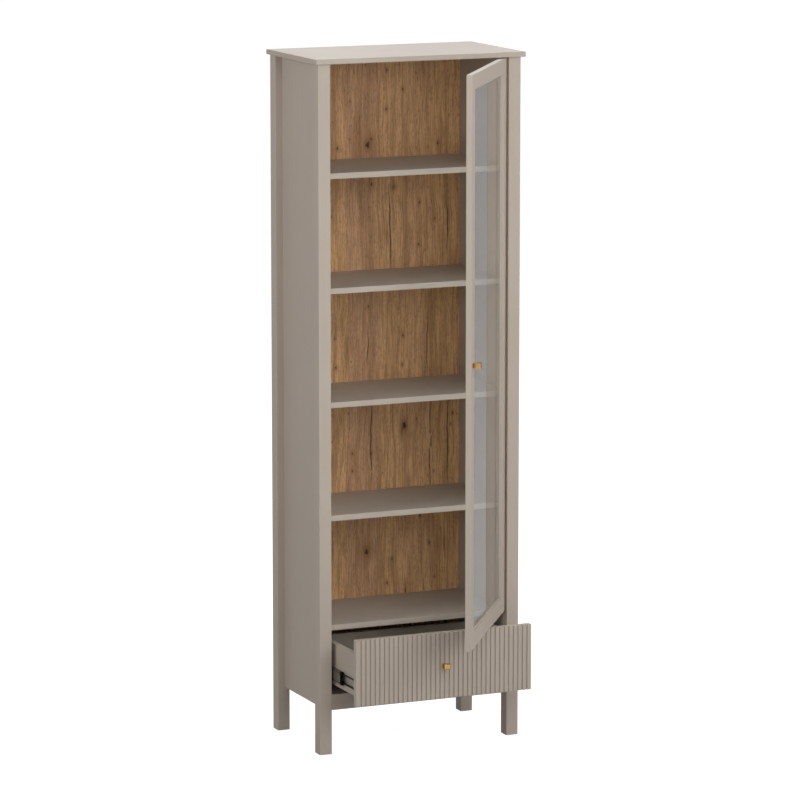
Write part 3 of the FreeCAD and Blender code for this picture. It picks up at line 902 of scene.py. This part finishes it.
@dataclass
class Door:
    """The glazed door, which stands open by its shown angle."""

    shown_degrees: float = 55.0
    pin: tuple[float, float] = (255.5 * MM, 43.0 * MM)
    back_y: float = 51.0 * MM
    cup_x: float = 248.5 * MM
    cup_flange: float = 1.2 * MM
    cup_screw_reach: float = 19.0 * MM
    cup_screw: ScrewSize = ScrewSize(6.2 * MM, 1.4 * MM)
    knob_x: float = -244.5 * MM
    members: tuple[str, ...] = ("door_hinge_stile", "door_free_stile", "door_top_rail", "door_bottom_rail")
    arris: float = 1.0 * MM
    arris_facets: int = 3
    arris_length: float = 300.0 * MM
    arris_degrees: float = 60.0

    def dress(self) -> None:
        """Gives the solids their finishes."""
        LACQUER.dress(*self.members, "glazing_beads")
        GLASS.dress("glass_pane")
        BRASS.dress("door_knob")
        NICKEL.dress(*[f"hinge_cup_{number}" for number in HINGES], "hinge_pins")

    def opened(self, spot: Vector, way: Vector) -> Seat:
        """Turns a seat from the shut door to the shown door.

        Args:
            spot: A point of the shut door.
            way: A direction on the shut door.

        Returns:
            The same on the opened door.
        """
        turn = Matrix.Rotation(math.radians(self.shown_degrees), 3, "Z")
        pivot = Vector((*self.pin, 0.0))
        return turn @ (spot - pivot) + pivot, turn @ way

    def eased(self, node: str) -> Piece:
        """Copies a member of the frame and rounds its long arrises, which draw thin light lines.

        Args:
            node: The member's name.

        Returns:
            The eased member.
        """
        member = Rework(node)
        member.shape.normal_update()
        sharp = math.radians(self.arris_degrees)
        long = [edge for edge in member.shape.edges if edge.calc_length() > self.arris_length]
        arrises = [edge for edge in long if edge.is_convex and edge.calc_face_angle(0.0) > sharp]
        member.ease(arrises, self.arris, self.arris_facets)
        return member.finish(f"eased_{node}", Body.DOOR, Slot.LACQUER)

    def build(self, screws: ScrewRows) -> list[Piece]:
        """Dresses the solids, eases the frame and adds the screws.

        Args:
            screws: The maker of screw rows.

        Returns:
            The new pieces.
        """
        self.dress()
        inward = Vector((0.0, 1.0, 0.0))
        cups = []
        for number in HINGES:
            low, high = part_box(f"hinge_cup_{number}")
            for reach in (-self.cup_screw_reach, self.cup_screw_reach):
                spot = Vector((self.cup_x, self.back_y + self.cup_flange, (low.z + high.z) / 2 + reach))
                cups.append(self.opened(spot, inward))
        low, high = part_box("door_knob")
        knob = self.opened(Vector((self.knob_x, self.back_y, (low.z + high.z) / 2)), inward)
        return [
            *(self.eased(node) for node in self.members),
            screws.place("hinge_cup_screws", cups, self.cup_screw, Body.DOOR),
            screws.place("door_knob_screw", [knob], KNOB_SCREW, Body.DOOR),
        ]


class FlutedFront(NodeShape):
    """A board with upright flutes cut into its front in an even row, and a full rib at each end."""

    def __init__(self) -> None:
        """Builds the tree: a board, and a row of cutters taken out of it."""
        super().__init__("fluted_front")
        self.socket("Rib Count", "NodeSocketInt")
        for name in ("Pitch", "Flute Width", "Flute Depth"):
            self.socket(name, "NodeSocketFloat")
        for name in ("Corner", "Size"):
            self.socket(name, "NodeSocketVector")
        self.socket("Material", "NodeSocketMaterial")
        tree = self.tree
        given = add(tree, "NodeGroupInput").outputs
        half = {0: given["Size"], "Scale": 0.5}
        rise = add(tree, "ShaderNodeVectorMath", half, operation="SCALE").outputs[0]
        middle = vectors(tree, "ADD", given["Corner"], rise)
        block = add(tree, "GeometryNodeMeshCube", {"Size": given["Size"]})
        board = add(tree, "GeometryNodeTransform", {"Geometry": block.outputs[0], "Translation": middle})
        tall = maths(tree, "MULTIPLY", split(tree, given["Size"])[2], 2.0)
        deep = maths(tree, "MULTIPLY", given["Flute Depth"], 2.0)
        bit = add(tree, "GeometryNodeMeshCube", {"Size": join(tree, given["Flute Width"], deep, tall)})
        step = join(tree, given["Pitch"])
        row = add(tree, "GeometryNodeMeshLine", {
            "Count": maths(tree, "SUBTRACT", given["Rib Count"], 1.0),
            "Start Location": vectors(tree, "ADD", given["Corner"], step),
            "Offset": step,
        }, mode="OFFSET")
        bits = add(tree, "GeometryNodeInstanceOnPoints", {
            "Points": row.outputs[0], "Instance": bit.outputs[0],
        })
        cutters = add(tree, "GeometryNodeRealizeInstances", {0: bits.outputs[0]})
        cut = add(tree, "GeometryNodeMeshBoolean", {
            0: board.outputs[0], 1: cutters.outputs[0],
        }, operation="DIFFERENCE", solver="EXACT")
        self.close(cut.outputs[0], given["Material"])


@dataclass
class Drawer:
    """The drawer with its fluted front and the moving members of its slides."""

    rib_count: int = 38
    flute_depth: float = 4.2 * MM
    flute_width: float = 4.2 * MM
    rib_ease: float = 0.9 * MM
    rib_facets: int = 3
    slide_screw_inset: float = 36.0 * MM
    slide_screw: ScrewSize = ScrewSize(6.4 * MM, 1.2 * MM)
    slide_sheet: float = 1.2 * MM
    clip_neck: float = 5.0 * MM
    clip_wing: float = 12.0 * MM
    clip_waist: float = 0.5

    def dress(self) -> None:
        """Gives the solids their finishes."""
        LACQUER.dress("drawer_front", "drawer_left_side", "drawer_right_side")
        # The back and bottom get the darker lacquer as painted shade.
        LINING_WITH_PAINTED_SHADE.dress("drawer_back", "drawer_bottom")
        BRASS.dress("drawer_knob")
        INNER_ZINC.dress(*(f"{side}_slide_inner" for side in SIDES))
        MIDDLE_ZINC.dress(*(f"{side}_slide_middle" for side in SIDES))
        ZINC.dress("outer_ball_cages", "outer_balls", "inner_ball_cages", "inner_balls")
        NYLON.dress("slide_clips", "release_levers")

    def front(self) -> Piece:
        """Makes the fluted front with eased ribs in the place of its solid.

        Returns:
            The front.
        """
        low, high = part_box("drawer_front")
        front = FlutedFront().make("fluted_drawer_front", bpy.data.meshes.new("front_start"), {
            "Rib Count": self.rib_count, "Pitch": (high.x - low.x) / self.rib_count,
            "Flute Width": self.flute_width, "Flute Depth": self.flute_depth,
            "Corner": tuple(low), "Size": tuple(high - low), "Material": LACQUER.material(),
        })
        ease = front.modifiers.new("ease", "BEVEL")
        ease.width = self.rib_ease
        ease.segments = self.rib_facets
        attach(front, Body.DRAWER.value)
        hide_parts("drawer_front")
        return front

    def waisted_clips(self) -> Piece:
        """Copies the clips of the middle members and draws in their waists, as the photographed ones have.

        Returns:
            Both clips.
        """
        low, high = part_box("slide_clips")
        middle = (low + high) / 2
        clips = Rework("slide_clips")
        for rise in (-self.clip_wing, -self.clip_neck, self.clip_neck, self.clip_wing):
            bmesh.ops.bisect_plane(
                clips.shape, geom=[*clips.shape.verts, *clips.shape.edges, *clips.shape.faces],
                plane_co=(0.0, 0.0, middle.z + rise), plane_no=(0.0, 0.0, 1.0),
            )
        for point in clips.shape.verts:
            if abs(point.co.z - middle.z) < self.clip_neck + WELD:
                point.co.y = middle.y + (point.co.y - middle.y) * self.clip_waist
        return clips.finish("waisted_slide_clips", Body.MIDDLES, Slot.PLASTIC)

    def slide_seats(self) -> list[Seat]:
        """Gives the seats of two screws in each inner slide member.

        Returns:
            Points and outward directions.
        """
        seats = []
        for side, sign in SIDES.items():
            low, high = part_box(f"{side}_slide_inner")
            web = high.x - self.slide_sheet if sign < 0 else low.x + self.slide_sheet
            for y in (low.y + self.slide_screw_inset, high.y - self.slide_screw_inset):
                seats.append((Vector((web, y, (low.z + high.z) / 2)), Vector((sign, 0.0, 0.0))))
        return seats

    def build(self, screws: ScrewRows) -> list[Piece]:
        """Dresses the solids, makes the front and the clips and adds the screws.

        Args:
            screws: The maker of screw rows.

        Returns:
            The new pieces.
        """
        self.dress()
        low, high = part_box("drawer_front")
        knob = Vector((0.0, high.y, (low.z + high.z) / 2)), Vector((0.0, 1.0, 0.0))
        return [
            self.front(),
            self.waisted_clips(),
            screws.place("slide_screws", self.slide_seats(), self.slide_screw, Body.DRAWER),
            screws.place("drawer_knob_screw", [knob], KNOB_SCREW, Body.DRAWER),
        ]


@dataclass
class Lamp:
    """A square soft box that faces the middle of the cabinet."""

    name: str
    place: Triple
    size: float
    watts: float
    aim: Triple = (0.0, 0.2, 1.0)

    def hang(self) -> None:
        """Adds the lamp to the scene."""
        light = bpy.data.lights.new(self.name, "AREA")
        light.shape = "SQUARE"
        light.size = self.size
        light.energy = self.watts
        lamp = bpy.data.objects.new(self.name, light)
        lamp.location = self.place
        lamp.rotation_mode = "QUATERNION"
        lamp.rotation_quaternion = (Vector(self.aim) - Vector(self.place)).to_track_quat("-Z", "Y")
        bpy.context.scene.collection.objects.link(lamp)


@dataclass
class Studio:
    """A pale floor, a white room, soft boxes, a grey flat for the glass and the camera."""

    floor_half: float = 30.0
    floor_colour: str = "#8A8784"
    floor_roughness: float = 0.9
    floor_glow: float = 0.95
    flat_place: tuple[float, float] = (1.0, 0.68)
    flat_turn: float = -46.0
    flat_half: float = 0.9
    flat_top: float = 2.4
    flat_colour: str = "#878080"
    camera_place: Triple = (-4.8315, -10.8596, 3.0218)
    camera_yaw: float = 23.6457
    camera_pitch: float = 9.6792
    camera_reach: float = 100.0
    lens_mm: float = 195.29
    sensor_mm: float = 36.0
    lamps: tuple[Lamp, ...] = (
        Lamp("key_box", (1.85, -3.13, 2.77), 2.0, 16.0),
        Lamp("right_box", (3.58, -0.96, 2.37), 2.0, 48.0),
        Lamp("upper_box", (-0.89, -3.12, 3.41), 2.0, 33.0),
        Lamp("front_box", (0.45, -4.2, 2.0), 2.1, 67.0),
        Lamp("fill_box", (-3.3, -4.74, 1.6), 2.8, 43.0),
        Lamp("left_box", (-3.12, -0.35, 2.35), 1.6, 40.5),
        Lamp("back_box", (2.18, 3.97, 5.83), 3.0, 275.0),
    )

    def seen(self, tree: Tree) -> Socket:
        """Tells the rays that show the ground from those that light with it.

        Args:
            tree: The material's or the world's tree.

        Returns:
            1 for the camera's rays, for mirrored rays and for rays through glass, or 0.
        """
        rays = add(tree, "ShaderNodeLightPath").outputs
        shown = maths(tree, "MAXIMUM", rays["Is Camera Ray"], rays["Is Glossy Ray"])
        return maths(tree, "MAXIMUM", shown, rays["Is Transmission Ray"])

    def floor(self) -> None:
        """Lays a pale floor that glows, so that it shows white where nothing shades it."""
        half = self.floor_half
        corners = [(-half, -half, 0.0), (half, -half, 0.0), (half, half, 0.0), (-half, half, 0.0)]
        paper = bpy.data.materials.new("white_paper_floor")
        paper.use_nodes = True
        tree = paper.node_tree
        shader = tree.nodes["Principled BSDF"]
        feed(tree, shader, {"Base Color": linear(self.floor_colour), "Roughness": self.floor_roughness})
        level = maths(tree, "MULTIPLY", self.seen(tree), self.floor_glow)
        glow = add(tree, "ShaderNodeEmission", {"Strength": level})
        both = add(tree, "ShaderNodeAddShader", {0: shader.outputs[0], 1: glow.outputs[0]})
        tree.links.new(both.outputs[0], tree.nodes["Material Output"].inputs["Surface"])
        self.stand("studio_floor", corners, paper)

    def flat(self) -> None:
        """Stands a grey flat to the right, which only the glass and the gloss of the door show."""
        turn = Matrix.Rotation(math.radians(self.flat_turn), 3, "Z")
        foot = Vector((*self.flat_place, 0.0))
        half, top = self.flat_half, self.flat_top
        ends = [(-half, 0.0), (half, 0.0), (half, top), (-half, top)]
        corners = [tuple(foot + turn @ Vector((side, 0.0, up))) for side, up in ends]
        paint = bpy.data.materials.new("grey_flat")
        paint.use_nodes = True
        tree = paint.node_tree
        glow = add(tree, "ShaderNodeEmission", {"Color": linear(self.flat_colour)})
        tree.links.new(glow.outputs[0], tree.nodes["Material Output"].inputs["Surface"])
        board = self.stand("grey_flat", corners, paint)
        board.visible_camera = False
        board.visible_diffuse = False
        board.visible_transmission = False
        board.visible_shadow = False

    def stand(self, name: str, corners: Sequence[tuple[float, ...]], paint: bpy.types.Material) -> Piece:
        """Puts a flat sheet of four corners on the stage.

        Args:
            name: The sheet's name.
            corners: Its corners in order.
            paint: Its material.

        Returns:
            The sheet.
        """
        mesh = bpy.data.meshes.new(name)
        mesh.from_pydata(corners, [], [(0, 1, 2, 3)])
        mesh.materials.append(paint)
        sheet = bpy.data.objects.new(name, mesh)
        bpy.context.scene.collection.objects.link(sheet)
        return sheet

    def room(self) -> None:
        """Surrounds the object with a room that shows white and gives no light of its own."""
        world = bpy.data.worlds.new("white_room")
        bpy.context.scene.world = world
        world.use_nodes = True
        tree = world.node_tree
        feed(tree, tree.nodes["Background"], {"Color": (1.0, 1.0, 1.0, 1.0), "Strength": self.seen(tree)})

    def camera(self) -> None:
        """Stands the camera where the photograph was taken from."""
        eye = bpy.data.cameras.new("photograph_view")
        eye.lens = self.lens_mm
        eye.sensor_width = self.sensor_mm
        eye.clip_end = self.camera_reach
        stand = bpy.data.objects.new("photograph_view", eye)
        stand.location = self.camera_place
        stand.rotation_euler = (math.radians(90.0 - self.camera_pitch), 0.0, math.radians(-self.camera_yaw))
        bpy.context.scene.collection.objects.link(stand)
        bpy.context.scene.camera = stand

    def build(self) -> None:
        """Sets up the whole studio."""
        self.floor()
        self.flat()
        self.room()
        for lamp in self.lamps:
            lamp.hang()
        self.camera()
        bpy.context.scene.view_settings.view_transform = "Standard"


def main() -> None:
    """Builds the sub-assemblies in order and reports each new piece."""
    logging.basicConfig(level=logging.INFO)
    Studio().build()
    screws = ScrewRows()
    for part in (Carcass(), Door(), Drawer()):
        for piece in part.build(screws):
            LOG.info("%s: %s with %d faces", type(part).__name__, piece.name, len(piece.data.polygons))


if __name__ == "__main__":
    main()
